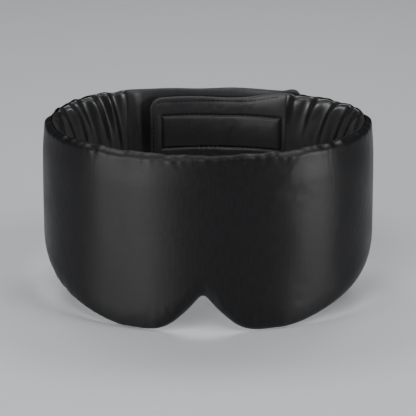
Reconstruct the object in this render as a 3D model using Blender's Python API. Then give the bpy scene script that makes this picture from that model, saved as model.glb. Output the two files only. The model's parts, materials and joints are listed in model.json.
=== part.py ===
# Wrap-round padded sleep eye mask, closed into a loop, as it is worn: +Z is up, -Y is the front of the
# face, and X runs from ear to ear. Each ply, pad, tape, elastic and seam thread is its own solid.
#
# The origin is under the middle of the mask, on the plane of its two lobes. The mask follows one level
# loop in plan. A point is given by its distance along the loop, its height, and its offset from the
# loop, positive outwards. The tabs at the back follow an exact arc.
import math

import bmesh
import bpy
import numpy as np
from mathutils import Vector

# The loop in plan, measured at the seams
loop_half_width = 0.0940
front_depth = 0.0750
back_depth = 0.0660
back_radius = 0.1375
back_arc_angle = math.radians(22.5)
side_handle = 0.0300
corner_handle = 0.0220

# Heights
rim_height = 0.1080
nose_offset = -0.0030
nose_height = 0.0230
nose_round = 0.0030
nose_spread = 0.0125
nose_fade = 0.0100
lobe_flat_start = 0.0360
lobe_flat_end = 0.0480
side_rise = 0.0310
side_rise_power = 1.4
strap_bottom = 0.0510

# Front panel
front_half_length = 0.1400
front_ply = 0.0010
front_bulge_out = 0.0042
front_bulge_in = 0.0030
front_edge_width = 0.0140
front_seam_width = 0.0060
front_flare = 0.0015
blackout_thickness = 0.0005
pad_margin = 0.0060
blackout_margin = 0.0045

# Gathered side sections
side_ply = 0.0008
side_bulge_out = 0.0030
side_bulge_in = 0.0022
side_edge_width = 0.0100
wadding_margin = 0.0095
elastic_width = 0.0060
elastic_thickness = 0.0010
elastic_inset = 0.0025

# Tabs
tab_root_angle = math.radians(21.5)
tab_ply = 0.0008
tab_padding = 0.0015
tab_padding_margin = 0.0040
tab_corner = 0.0080
tab_shoulder = 0.0300
tab_end_reveal = 0.0065
outer_tab_lap = 0.0069
outer_tab_straight = 0.0360
outer_tab_top = 0.1065
outer_tab_bottom = 0.0530
inner_tab_short = 0.0130
inner_tab_top = 0.1030
inner_tab_bottom = 0.0586

# Hook-and-loop tapes
hook_tape_root_margin = 0.0017
hook_tape_width = 0.0250
hook_tape_thickness = 0.0012
loop_tape_root_margin = 0.0176
loop_tape_width = 0.0250
loop_tape_thickness = 0.0014

# Threads and clearances
thread = 0.0006
seam_inset = 0.0015
stitch_inset = 0.0020
edge_stitch_inset = 0.0025
gap = 0.0003
pad_gap = 0.0005

# What follows from them
seam_channel = thread + 2 * gap
tape_height = (inner_tab_top + inner_tab_bottom) / 2
tab_thickness = 2 * tab_ply + tab_padding + 2 * gap
outer_tab_face = gap / 2 + loop_tape_thickness + gap
inner_tab_face = -(gap / 2 + hook_tape_thickness + gap)
outer_tab_middle = outer_tab_face + tab_thickness / 2
inner_tab_middle = inner_tab_face - tab_thickness / 2
front_extent = front_depth + seam_channel / 2 + front_bulge_out + front_ply + front_flare
back_extent = back_depth + outer_tab_face + tab_thickness + gap + thread
loop_centre = (front_extent - back_extent) / 2
arc_centre = loop_centre + back_depth - back_radius
root_arc = back_radius * tab_root_angle
outer_tab_reach = root_arc + outer_tab_lap
inner_tab_reach = root_arc - inner_tab_short
hook_tape_length = root_arc + inner_tab_reach - tab_end_reveal - hook_tape_root_margin
loop_tape_length = root_arc + outer_tab_reach - tab_end_reveal - loop_tape_root_margin


def half_loop():
    """The right half of the loop, from the middle of the front round to the middle of the back."""
    turn = np.linspace(0, math.pi / 2, 600)
    front = np.stack([loop_half_width * np.sin(turn), loop_centre - front_depth * np.cos(turn)], axis=1)
    start = np.array([loop_half_width, loop_centre])
    end = np.array([back_radius * math.sin(back_arc_angle),
                    arc_centre + back_radius * math.cos(back_arc_angle)])
    first = start + np.array([0.0, side_handle])
    second = end + corner_handle * np.array([math.cos(back_arc_angle), -math.sin(back_arc_angle)])
    t = np.linspace(0, 1, 300)[:, None]
    side = ((1 - t) ** 3 * start + 3 * (1 - t) ** 2 * t * first
            + 3 * (1 - t) * t ** 2 * second + t ** 3 * end)
    angle = np.linspace(back_arc_angle, 0, 300)
    back = np.stack([back_radius * np.sin(angle), arc_centre + back_radius * np.cos(angle)], axis=1)
    return np.concatenate([front, side[1:], back[1:]])


loop_points = half_loop()
loop_lengths = np.concatenate([[0.0], np.cumsum(np.linalg.norm(np.diff(loop_points, axis=0), axis=1))])
root_length = loop_lengths[-1] - root_arc
side_start = front_half_length + seam_channel
side_end = root_length - seam_channel / 2


def loop_at(length):
    x = np.interp(abs(length), loop_lengths, loop_points[:, 0])
    y = np.interp(abs(length), loop_lengths, loop_points[:, 1])
    return x, y


def on_loop(length, offset):
    """Plan position at a signed length from the middle of the front, positive towards +X."""
    side = -1 if length < 0 else 1
    x, y = loop_at(length)
    ahead, behind = loop_at(abs(length) + 0.0004), loop_at(max(abs(length) - 0.0004, 0))
    along = Vector((ahead[0] - behind[0], ahead[1] - behind[1])).normalized()
    return side * (x + along.y * offset), y - along.x * offset


def on_arc(length, offset):
    """Plan position on the back arc, at a length from the middle of the back, positive towards +X."""
    angle = length / back_radius
    radius = back_radius + offset
    return radius * math.sin(angle), arc_centre + radius * math.cos(angle)


def on_outer_tab(length, offset):
    """As on_arc, but the free end of the outer tab runs on straight and stands off."""
    angle = min(length, outer_tab_straight) / back_radius
    x, y = on_arc(min(length, outer_tab_straight), offset)
    beyond = max(length - outer_tab_straight, 0)
    return x + beyond * math.cos(angle), y - beyond * math.sin(angle)


def smooth_step(t):
    t = min(max(t, 0.0), 1.0)
    return t * t * (3 - 2 * t)


def edge_rise(distance, width):
    """Quarter-round profile of a stuffed edge: 0 at the seam, 1 at width from it."""
    t = min(max(distance / width, 0.0), 1.0)
    return math.sqrt(1 - (1 - t) ** 2)


def front_bottom(length):
    distance = abs(length - nose_offset)
    arch = math.exp(-(math.hypot(distance, nose_round) - nose_round) / nose_spread)
    fade = 1 - smooth_step((distance - nose_fade) / (lobe_flat_start - nose_fade))
    reach = front_half_length + (nose_offset if length < nose_offset else -nose_offset)
    outward = max(distance - lobe_flat_end, 0) / (reach - lobe_flat_end)
    return nose_height * arch * fade + side_rise * outward ** side_rise_power


def side_bottom(length):
    t = (abs(length) - front_half_length) / (root_length - front_half_length)
    return side_rise + (strap_bottom - side_rise) * smooth_step(t)


def flare(length, height):
    """The lower edge of the mask stands out a little from the rim; the straps do not."""
    t = (abs(length) - front_half_length) / (root_length - front_half_length)
    return front_flare * (1 - height / rim_height) * (1 - smooth_step(t))


def front_fill(length, height):
    rise = edge_rise(rim_height - height, front_edge_width)
    rise *= edge_rise(height - front_bottom(length), front_edge_width)
    return rise * edge_rise(front_half_length - abs(length), front_seam_width)


def side_fill(length, height):
    rise = edge_rise(rim_height - height, side_edge_width)
    rise *= edge_rise(height - side_bottom(length), side_edge_width)
    rise *= edge_rise(abs(length) - side_start, front_seam_width)
    return rise * edge_rise(side_end - abs(length), front_seam_width)


def shell_inner(length, height):
    return flare(length, height) + seam_channel / 2 + front_bulge_out * front_fill(length, height)


def lining_outer(length, height):
    return flare(length, height) - seam_channel / 2 - front_bulge_in * front_fill(length, height)


def blackout_inner(length, height):
    return shell_inner(length, height) - pad_gap - blackout_thickness


def side_middle(length, height):
    """The straps lead outwards on the left and inwards on the right, so that the tabs overlap."""
    t = (abs(length) - front_half_length) / (root_length - front_half_length)
    shift = outer_tab_middle if length < 0 else inner_tab_middle
    return flare(length, height) + shift * smooth_step(t)


def side_outer_inner(length, height):
    return side_middle(length, height) + seam_channel / 2 + side_bulge_out * side_fill(length, height)


def side_lining_outer(length, height):
    return side_middle(length, height) - seam_channel / 2 - side_bulge_in * side_fill(length, height)


def corner_drop(distance):
    """How far a rounded corner has cut into the height, at a distance from the free end."""
    if distance >= tab_corner:
        return 0.0
    return tab_corner - math.sqrt(tab_corner ** 2 - (tab_corner - max(distance, 0)) ** 2)


def tab_heights(from_root, from_tip, bottom, top):
    """A tab narrows from the full height of its strap to its own, and has rounded corners."""
    drop = corner_drop(from_tip)
    t = smooth_step(from_root / tab_shoulder)
    low = strap_bottom + (bottom - strap_bottom) * t
    return low + drop, rim_height + (top - rim_height) * t - drop


def outer_tab_heights(length):
    return tab_heights(root_arc + length, outer_tab_reach - length, outer_tab_bottom, outer_tab_top)


def inner_tab_heights(length):
    return tab_heights(root_arc - length, inner_tab_reach + length, inner_tab_bottom, inner_tab_top)


def stepped(start, end, count):
    return [start + (end - start) * i / count for i in range(count + 1)]


def edge_rows(count):
    """Fractions from 0 to 1, closer together near both ends."""
    return [(1 - math.cos(math.pi * i / count)) / 2 for i in range(count + 1)]


def half_lengths(reach, fine, coarse):
    """Distances from the nose notch to one end of the front panel."""
    inner = stepped(0.0, lobe_flat_start, fine)
    flat = [(lobe_flat_start + lobe_flat_end) / 2, lobe_flat_end]
    outer = stepped(lobe_flat_end, reach - front_seam_width, coarse)[1:]
    seam = [reach - front_seam_width * part for part in (0.45, 0.12, 0.0)]
    return inner + flat + outer + seam


def front_lengths(reach, fine, coarse):
    left = [nose_offset - part for part in half_lengths(reach + nose_offset, fine, coarse)]
    right = [nose_offset + part for part in half_lengths(reach - nose_offset, fine, coarse)]
    return left[:0:-1] + right


def tab_lengths(root, tip, corner, count):
    """Lengths from the root of a tab to its free end, with more of them round the corners."""
    way = 1 if tip > root else -1
    body = stepped(root, tip - way * corner, count)
    turn = [tip - way * corner * (1 - math.sin(math.radians(angle))) for angle in (25, 50, 70, 90)]
    return body + turn


def add_empty(name, place):
    empty = bpy.data.objects.new(name, None)
    empty.empty_display_size = 0.01
    empty.location = place
    bpy.context.collection.objects.link(empty)
    return empty


def add_material(name, colour, roughness):
    material = bpy.data.materials.new(name)
    material.use_nodes = True
    shader = material.node_tree.nodes["Principled BSDF"]
    shader.inputs["Base Color"].default_value = (*colour, 1)
    shader.inputs["Roughness"].default_value = roughness
    shader.inputs["Metallic"].default_value = 0
    return material


def place_object(obj, parent, look):
    colour, roughness = look
    obj.data.materials.append(add_material(obj.name + "_material", colour, roughness))
    bpy.context.collection.objects.link(obj)
    if parent:
        obj.parent = parent
    return obj


def add_layer(name, track, lengths, heights, rows, inner, outer, look, parent=None):
    """A closed ply: a grid of points on its inner face, one on its outer face, and the edge between."""
    base = parent.location if parent else Vector((0, 0, 0))
    mesh = bpy.data.meshes.new(name)
    shape = bmesh.new()
    faces = []
    for offset in (inner, outer):
        grid = []
        for length in lengths:
            low, high = heights(length)
            column = []
            for row in rows:
                height = low + (high - low) * row
                x, y = track(length, offset(length, height))
                column.append(shape.verts.new(Vector((x, y, height)) - base))
            grid.append(column)
        faces.append(grid)
    columns, steps = len(lengths) - 1, len(rows) - 1
    for i in range(columns):
        for j in range(steps):
            for grid in faces:
                corners = (grid[i][j], grid[i + 1][j], grid[i + 1][j + 1], grid[i][j + 1])
                shape.faces.new(corners)
    ring = [(i, 0) for i in range(columns)] + [(columns, j) for j in range(steps)]
    ring += [(i, steps) for i in range(columns, 0, -1)] + [(0, j) for j in range(steps, 0, -1)]
    for here, there in zip(ring, ring[1:] + ring[:1]):
        near, far = faces
        shape.faces.new((near[here[0]][here[1]], near[there[0]][there[1]],
                         far[there[0]][there[1]], far[here[0]][here[1]]))
    bmesh.ops.recalc_face_normals(shape, faces=shape.faces)
    shape.to_mesh(mesh)
    shape.free()
    mesh.shade_smooth()
    mesh.set_sharp_from_angle(angle=math.radians(40))
    return place_object(bpy.data.objects.new(name, mesh), parent, look)


def add_thread(name, points, closed, look, parent=None):
    base = parent.location if parent else Vector((0, 0, 0))
    curve = bpy.data.curves.new(name, "CURVE")
    curve.dimensions = "3D"
    curve.bevel_depth = thread / 2
    curve.bevel_resolution = 0
    curve.use_fill_caps = True
    spline = curve.splines.new("POLY")
    spline.points.add(len(points) - 1)
    for point, place in zip(spline.points, points):
        point.co = (*(Vector(place) - base), 1)
    spline.use_cyclic_u = closed
    return place_object(bpy.data.objects.new(name, curve), parent, look)


def shifted(surface, amount):
    return lambda length, height: surface(length, height) + amount


def level(amount):
    return lambda length, height: amount


satin = ((0.012, 0.012, 0.013), 0.42)
satin_lining = ((0.014, 0.014, 0.015), 0.45)
foam = ((0.055, 0.055, 0.058), 0.9)
felt = ((0.006, 0.006, 0.006), 0.95)
wadding = ((0.62, 0.62, 0.60), 0.95)
elastic = ((0.020, 0.020, 0.021), 0.7)
nylon = ((0.010, 0.010, 0.010), 0.55)
sewing = ((0.016, 0.016, 0.017), 0.5)


def front_panel():
    reach = front_half_length
    lengths = front_lengths(reach, 11, 12)
    rows = edge_rows(9)
    whole = lambda length: (front_bottom(length), rim_height)
    add_layer("front_outer_shell", on_loop, lengths, whole, rows,
              shell_inner, shifted(shell_inner, front_ply), satin)
    add_layer("front_lining", on_loop, lengths, whole, rows,
              shifted(lining_outer, -front_ply), lining_outer, satin_lining)
    inner_rows = edge_rows(6)
    lengths = front_lengths(reach - blackout_margin, 6, 9)
    middle = lambda length: (front_bottom(length) + blackout_margin, rim_height - blackout_margin)
    add_layer("front_blackout_layer", on_loop, lengths, middle, inner_rows,
              blackout_inner, shifted(shell_inner, -pad_gap), felt)
    lengths = front_lengths(reach - pad_margin, 6, 9)
    middle = lambda length: (front_bottom(length) + pad_margin, rim_height - pad_margin)
    add_layer("front_foam_pad", on_loop, lengths, middle, inner_rows,
              shifted(lining_outer, pad_gap), shifted(blackout_inner, -pad_gap), foam)
    front_seam(reach)


def front_seam(reach):
    inset = seam_inset
    top, bottom = [], []
    for length in front_lengths(reach - inset, 6, 9):
        high, low = rim_height - inset, front_bottom(length) + inset
        top.append((*on_loop(length, flare(length, high)), high))
        bottom.append((*on_loop(length, flare(length, low)), low))
    add_thread("front_seam_thread", top + bottom[::-1], True, sewing)


def side_section(side, slide, prefix):
    lengths = [side * length for length in side_lengths(side_start, side_end, 9)]
    whole = lambda length: (side_bottom(length), rim_height)
    rows = edge_rows(7)
    add_layer(prefix + "_side_outer", on_loop, lengths, whole, rows,
              side_outer_inner, shifted(side_outer_inner, side_ply), satin, slide)
    add_layer(prefix + "_side_lining", on_loop, lengths, whole, rows,
              shifted(side_lining_outer, -side_ply), side_lining_outer, satin_lining, slide)
    middle = lambda length: (side_bottom(length) + wadding_margin, rim_height - wadding_margin)
    inner = [side * length for length in
             stepped(side_start + front_seam_width, side_end - front_seam_width, 8)]
    add_layer(prefix + "_side_wadding", on_loop, inner, middle, edge_rows(4),
              shifted(side_lining_outer, pad_gap), shifted(side_outer_inner, -pad_gap), wadding, slide)
    side_elastics(side, slide, prefix)
    joint = root_seam(side)
    add_thread(prefix + "_tab_joining_thread", joint, False, sewing, slide)


def side_lengths(start, end, count):
    inner = stepped(start + front_seam_width, end - front_seam_width, count)
    head = [start + front_seam_width * part for part in (0.0, 0.12, 0.45)]
    tail = [end - front_seam_width * part for part in (0.45, 0.12, 0.0)]
    return head + inner + tail


def side_elastics(side, slide, prefix):
    lengths = [side * length for length in stepped(side_start + 0.002, side_end - 0.002, 9)]
    top = rim_height - elastic_inset
    half = elastic_thickness / 2
    upper = lambda length: (top - elastic_width, top)
    lower = lambda length: (side_bottom(length) + elastic_inset,
                            side_bottom(length) + elastic_inset + elastic_width)
    for name, heights in (("top", upper), ("bottom", lower)):
        add_layer(prefix + "_side_" + name + "_elastic", on_loop, lengths, heights, [0.0, 1.0],
                  shifted(side_middle, -half), shifted(side_middle, half), elastic, slide)


def root_seam(side):
    """The seam between a side section and its tab, in the gap between them."""
    offset = outer_tab_middle if side < 0 else inner_tab_middle
    heights = stepped(strap_bottom + seam_inset, rim_height - seam_inset, 4)
    return [(*on_arc(side * root_arc, offset), height) for height in heights]


def side_seam(side, prefix):
    """The seam between the front panel and a side section, in the gap between them."""
    length = side * (front_half_length + seam_channel / 2)
    points = []
    for height in stepped(side_rise + seam_inset, rim_height - seam_inset, 6):
        points.append((*on_loop(length, flare(length, height)), height))
    add_thread(prefix + "_side_seam_thread", points, False, sewing)


def add_tab(name, track, lengths, heights, face, way, hinge):
    """Two plies with padding between them, stacked from the tape's side outwards or inwards."""
    rows = stepped(0.0, 1.0, 3)
    layers = [("_inner_ply", tab_ply, 0.0), ("_padding", tab_padding, tab_padding_margin),
              ("_outer_ply", tab_ply, 0.0)]
    if way < 0:
        layers = [("_outer_ply", tab_ply, 0.0), ("_padding", tab_padding, tab_padding_margin),
                  ("_inner_ply", tab_ply, 0.0)]
    near = face
    for part, thickness, margin in layers:
        far = near + way * thickness
        kept = [length for length in lengths
                if abs(length - lengths[0]) >= margin and abs(length - lengths[-1]) >= margin]
        span = inset_heights(heights, margin)
        look = wadding if margin else satin
        add_layer(name + part, track, kept, span, rows, level(min(near, far)), level(max(near, far)),
                  look, hinge)
        near = far + way * gap


def inset_heights(heights, margin):
    def inset(length):
        low, high = heights(length)
        return low + margin, high - margin
    return inset


def rectangle(track, start, end, low, high, offset, steps):
    """A closed run of stitches round a tape, on the face of a tab."""
    lower = [(*track(length, offset), low) for length in stepped(start, end, steps)]
    upper = [(*track(length, offset), high) for length in stepped(end, start, steps)]
    return lower + upper


def edge_run(track, lengths, heights, offset):
    """Stitches along the two long edges and the free end of a tab."""
    way = 1 if lengths[-1] > lengths[0] else -1
    kept = [length - way * edge_stitch_inset for length in lengths if
            abs(length - lengths[0]) > 2 * edge_stitch_inset]
    lower, upper = [], []
    for length in kept:
        low, high = heights(length + way * edge_stitch_inset)
        lower.append((*track(length, offset), low + edge_stitch_inset))
        upper.append((*track(length, offset), high - edge_stitch_inset))
    return lower + upper[::-1]


def outer_tab(hinge):
    lengths = tab_lengths(-root_arc + seam_channel / 2, outer_tab_reach, tab_corner, 14)
    add_tab("outer_tab", on_outer_tab, lengths, outer_tab_heights, outer_tab_face, 1, hinge)
    tip = outer_tab_reach - tab_end_reveal
    run = stepped(tip - loop_tape_length, tip, 14)
    half = loop_tape_width / 2
    span = lambda length: (tape_height - half, tape_height + half)
    add_layer("loop_tape", on_outer_tab, run, span, [0.0, 0.5, 1.0], level(gap / 2),
              level(gap / 2 + loop_tape_thickness), nylon, hinge)
    outside = outer_tab_face + tab_thickness + gap + thread / 2
    inset = stitch_inset
    points = rectangle(on_outer_tab, run[0] + inset, run[-1] - inset, tape_height - half + inset,
                       tape_height + half - inset, outside, 12)
    add_thread("loop_tape_thread", points, True, sewing, hinge)
    add_thread("outer_tab_edge_thread", edge_run(on_outer_tab, lengths, outer_tab_heights, outside),
               False, sewing, hinge)


def inner_tab(hinge):
    lengths = tab_lengths(root_arc - seam_channel / 2, -inner_tab_reach, tab_corner, 12)
    add_tab("inner_tab", on_arc, lengths, inner_tab_heights, inner_tab_face, -1, hinge)
    tip = -inner_tab_reach + tab_end_reveal
    run = stepped(tip, tip + hook_tape_length, 12)
    half = hook_tape_width / 2
    span = lambda length: (tape_height - half, tape_height + half)
    add_layer("hook_tape", on_arc, run, span, [0.0, 0.5, 1.0],
              level(-gap / 2 - hook_tape_thickness), level(-gap / 2), nylon, hinge)
    inside = inner_tab_face - tab_thickness - gap - thread / 2
    inset = stitch_inset
    points = rectangle(on_arc, run[0] + inset, run[-1] - inset, tape_height - half + inset,
                       tape_height + half - inset, inside, 12)
    add_thread("hook_tape_thread", points, True, sewing, hinge)
    add_thread("inner_tab_edge_thread", edge_run(on_arc, lengths, inner_tab_heights, inside),
               False, sewing, hinge)


def build():
    for obj in list(bpy.data.objects):
        bpy.data.objects.remove(obj)
    front_panel()
    for side, prefix in ((-1, "left"), (1, "right")):
        side_seam(side, prefix)
        slide = add_empty(prefix + "_side_slide", (*on_loop(side * side_start, 0), 0))
        side_section(side, slide, prefix)
    outside = outer_tab_face + tab_thickness + gap
    outer_tab(add_empty("outer_tab_hinge", (*on_arc(-root_arc, outside), 0)))
    inside = inner_tab_face - tab_thickness - gap
    inner_tab(add_empty("inner_tab_hinge", (*on_arc(root_arc, inside), 0)))


build()
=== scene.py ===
import json
import math

import bmesh
import bpy
import numpy as np
from mathutils import Matrix, Vector, noise

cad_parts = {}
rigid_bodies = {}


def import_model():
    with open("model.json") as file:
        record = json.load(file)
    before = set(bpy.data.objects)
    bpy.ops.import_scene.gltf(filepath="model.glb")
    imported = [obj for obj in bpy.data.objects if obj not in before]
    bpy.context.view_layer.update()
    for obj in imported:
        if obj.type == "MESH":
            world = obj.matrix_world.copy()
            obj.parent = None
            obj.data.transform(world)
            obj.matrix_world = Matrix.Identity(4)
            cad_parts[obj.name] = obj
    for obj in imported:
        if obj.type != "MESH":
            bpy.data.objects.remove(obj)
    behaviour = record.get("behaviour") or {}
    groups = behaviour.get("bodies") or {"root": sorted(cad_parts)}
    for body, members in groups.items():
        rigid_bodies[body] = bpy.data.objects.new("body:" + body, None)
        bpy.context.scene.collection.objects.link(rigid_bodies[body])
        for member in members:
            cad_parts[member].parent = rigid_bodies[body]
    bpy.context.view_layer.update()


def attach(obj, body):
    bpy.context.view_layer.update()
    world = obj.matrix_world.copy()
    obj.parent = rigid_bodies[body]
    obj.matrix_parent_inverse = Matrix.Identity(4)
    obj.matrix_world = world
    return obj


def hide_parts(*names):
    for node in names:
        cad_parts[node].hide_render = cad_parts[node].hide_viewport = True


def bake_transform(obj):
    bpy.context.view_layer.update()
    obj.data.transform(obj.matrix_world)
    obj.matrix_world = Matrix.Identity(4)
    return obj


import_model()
scene = bpy.context.scene
print("frame loaded")

# Camera: level with the front of the mask, looking down a little over the rim
view = {"aim": (-0.0002, 0.0006, 0.0518), "elevation": 19.1, "distance": 1.30, "lens": 185.2}
camera = bpy.data.cameras.new("camera")
camera.lens, camera.sensor_width, camera.clip_end = view["lens"], 36, 20
holder = bpy.data.objects.new("camera", camera)
scene.collection.objects.link(holder)
lift = math.radians(view["elevation"])
away = Vector((0, -math.cos(lift), math.sin(lift))) * view["distance"]
holder.location = Vector(view["aim"]) + away
holder.rotation_euler = (-away).to_track_quat("-Z", "Y").to_euler()
scene.camera = holder

# The mask's own pattern, in metres: a level loop in plan, and the heights of its edges
mask = {
    "halfWidth": 0.0940, "frontDepth": 0.0750, "backDepth": 0.0660, "backRadius": 0.1375,
    "backAngle": math.radians(22.5), "sideHandle": 0.0300, "cornerHandle": 0.0220, "loopCentre": 0.004925,
    "rim": 0.1080, "noseOffset": -0.0030, "noseHeight": 0.0230, "noseRound": 0.0030, "noseSpread": 0.0125,
    "noseFade": 0.0100, "lobeStart": 0.0360, "lobeEnd": 0.0480, "sideRise": 0.0310, "strapBottom": 0.0510,
    "frontHalf": 0.1400, "flare": 0.0015, "rootAngle": math.radians(21.5), "seamChannel": 0.0012,
    "tabStraight": 0.0360,
}
arcCentre = mask["loopCentre"] + mask["backDepth"] - mask["backRadius"]
rootArc = mask["backRadius"] * mask["rootAngle"]


def halfLoop(m):
    turn = np.linspace(0, math.pi / 2, 600)
    front = np.stack([m["halfWidth"] * np.sin(turn), m["loopCentre"] - m["frontDepth"] * np.cos(turn)], axis=1)
    start = np.array([m["halfWidth"], m["loopCentre"]])
    slope = m["backAngle"]
    end = np.array([m["backRadius"] * math.sin(slope), arcCentre + m["backRadius"] * math.cos(slope)])
    first = start + np.array([0, m["sideHandle"]])
    second = end + m["cornerHandle"] * np.array([math.cos(slope), -math.sin(slope)])
    t = np.linspace(0, 1, 300)[:, None]
    side = (1 - t) ** 3 * start + 3 * (1 - t) ** 2 * t * first + 3 * (1 - t) * t ** 2 * second + t ** 3 * end
    turn = np.linspace(slope, 0, 300)
    back = np.stack([m["backRadius"] * np.sin(turn), arcCentre + m["backRadius"] * np.cos(turn)], axis=1)
    return np.concatenate([front, side[1:], back[1:]])


loopPoints = halfLoop(mask)
loopLengths = np.concatenate([[0.0], np.cumsum(np.linalg.norm(np.diff(loopPoints, axis=0), axis=1))])
rootLength = loopLengths[-1] - rootArc
sideStart = mask["frontHalf"] + mask["seamChannel"]
sideEnd = rootLength - mask["seamChannel"] / 2


def onLoop(length, offset):
    side = np.where(length < 0, -1.0, 1.0)
    away = np.abs(length)
    x = np.interp(away, loopLengths, loopPoints[:, 0])
    y = np.interp(away, loopLengths, loopPoints[:, 1])
    low, high = np.maximum(away - 0.0004, 0), away + 0.0004
    dx = np.interp(high, loopLengths, loopPoints[:, 0]) - np.interp(low, loopLengths, loopPoints[:, 0])
    dy = np.interp(high, loopLengths, loopPoints[:, 1]) - np.interp(low, loopLengths, loopPoints[:, 1])
    size = np.hypot(dx, dy)
    return side * (x + dy / size * offset), y - dx / size * offset


def onArc(length, offset):
    angle = length / mask["backRadius"]
    radius = mask["backRadius"] + offset
    return radius * np.sin(angle), arcCentre + radius * np.cos(angle)


def onOuterTab(length, offset):
    held = np.minimum(length, mask["tabStraight"])  # past this the free end runs on straight
    x, y = onArc(held, offset)
    beyond = np.maximum(length - mask["tabStraight"], 0)
    return x + beyond * np.cos(held / mask["backRadius"]), y - beyond * np.sin(held / mask["backRadius"])


def smoothStep(t):
    t = np.clip(t, 0, 1)
    return t * t * (3 - 2 * t)


def edgeRise(distance, width):
    t = np.clip(distance / width, 0, 1)
    return np.sqrt(1 - (1 - t) ** 2)


def frontBottom(length):
    m = mask
    distance = np.abs(length - m["noseOffset"])
    arch = np.exp(-(np.hypot(distance, m["noseRound"]) - m["noseRound"]) / m["noseSpread"])
    fade = 1 - smoothStep((distance - m["noseFade"]) / (m["lobeStart"] - m["noseFade"]))
    reach = m["frontHalf"] + np.where(length < m["noseOffset"], m["noseOffset"], -m["noseOffset"])
    outward = np.maximum(distance - m["lobeEnd"], 0) / (reach - m["lobeEnd"])
    return m["noseHeight"] * arch * fade + m["sideRise"] * outward ** 1.4


def alongSide(length):
    return (np.abs(length) - mask["frontHalf"]) / (rootLength - mask["frontHalf"])


def sideBottom(length):
    return mask["sideRise"] + (mask["strapBottom"] - mask["sideRise"]) * smoothStep(alongSide(length))


def flareOut(length, height):
    return mask["flare"] * (1 - height / mask["rim"]) * (1 - smoothStep(alongSide(length)))


def grain(along, up, size, seed):
    return np.array([noise.noise(Vector((a / size[0], u / size[1], seed))) for a, u in zip(along, up)])


def spaced(stops, step):
    values = [stops[0]]
    for low, high in zip(stops, stops[1:]):
        count = max(1, round(abs(high - low) / step))
        values += [low + (high - low) * i / count for i in range(1, count + 1)]
    return np.array(values)


def bunched(count, share):
    even = np.linspace(0, 1, count)
    return share * (1 - np.cos(np.pi * even)) / 2 + (1 - share) * even  # closer together at both ends


def addObject(name, mesh):
    obj = bpy.data.objects.new(name, mesh)
    scene.collection.objects.link(obj)
    return obj


def takeShape(shape, name):
    mesh = bpy.data.meshes.new(name)
    shape.to_mesh(mesh)
    shape.free()
    return mesh


def standFor(piece, node, slot):
    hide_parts(node)


# Cloth pieces: two plies are cut as grids, sewn round the edges, filled with a little air and taken apart again
def layGrid(shape, lengths, rows, rise, place, ply):
    made = bmesh.ops.create_grid(shape, x_segments=len(lengths) - 1, y_segments=len(rows) - 1, size=0.5)
    column = np.array([round((v.co.x + 0.5) * (len(lengths) - 1)) for v in made["verts"]])
    row = np.array([round((v.co.y + 0.5) * (len(rows) - 1)) for v in made["verts"]])
    length = lengths[column]
    height = rise(length, rows[row])
    x, y, z = place(length, height)
    tag, cut = shape.verts.layers.int["ply"], shape.verts.layers.float_vector["cut"]
    for i, v in enumerate(made["verts"]):
        v.co = (x[i], y[i], z[i])
        v[tag] = ply
        v[cut] = (length[i], height[i], 0)
    return made["verts"]


def startShape():
    shape = bmesh.new()
    shape.verts.layers.int.new("ply")
    shape.verts.layers.float_vector.new("cut")
    return shape


def makePillow(name, lengths, rows, rise, outer, inner):
    shape = startShape()
    layGrid(shape, lengths, rows, rise, outer, 0)
    layGrid(shape, lengths, rows, rise, inner, 1)
    edges = [e for e in shape.edges if e.is_boundary]
    bmesh.ops.bridge_loops(shape, edges=edges)
    bmesh.ops.recalc_face_normals(shape, faces=shape.faces)
    return addObject(name, takeShape(shape, name))


def readPoints(mesh):
    points = np.zeros(len(mesh.vertices) * 3, np.float32)
    mesh.vertices.foreach_get("co", points)
    return points.reshape(-1, 3).astype(float)


def readCut(mesh):
    flat = np.zeros(len(mesh.vertices) * 3, np.float32)
    mesh.attributes["cut"].data.foreach_get("vector", flat)
    ply = np.zeros(len(mesh.vertices), np.int32)
    mesh.attributes["ply"].data.foreach_get("value", ply)
    return flat.reshape(-1, 3).astype(float), ply


cloth = {"mass": 0.004, "tension": 14, "shear": 4, "bending": 0.04, "damping": 3, "air": 2, "pressure": 4,
         "quality": 6, "frames": 20, "apart": 0.0006}


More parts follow.
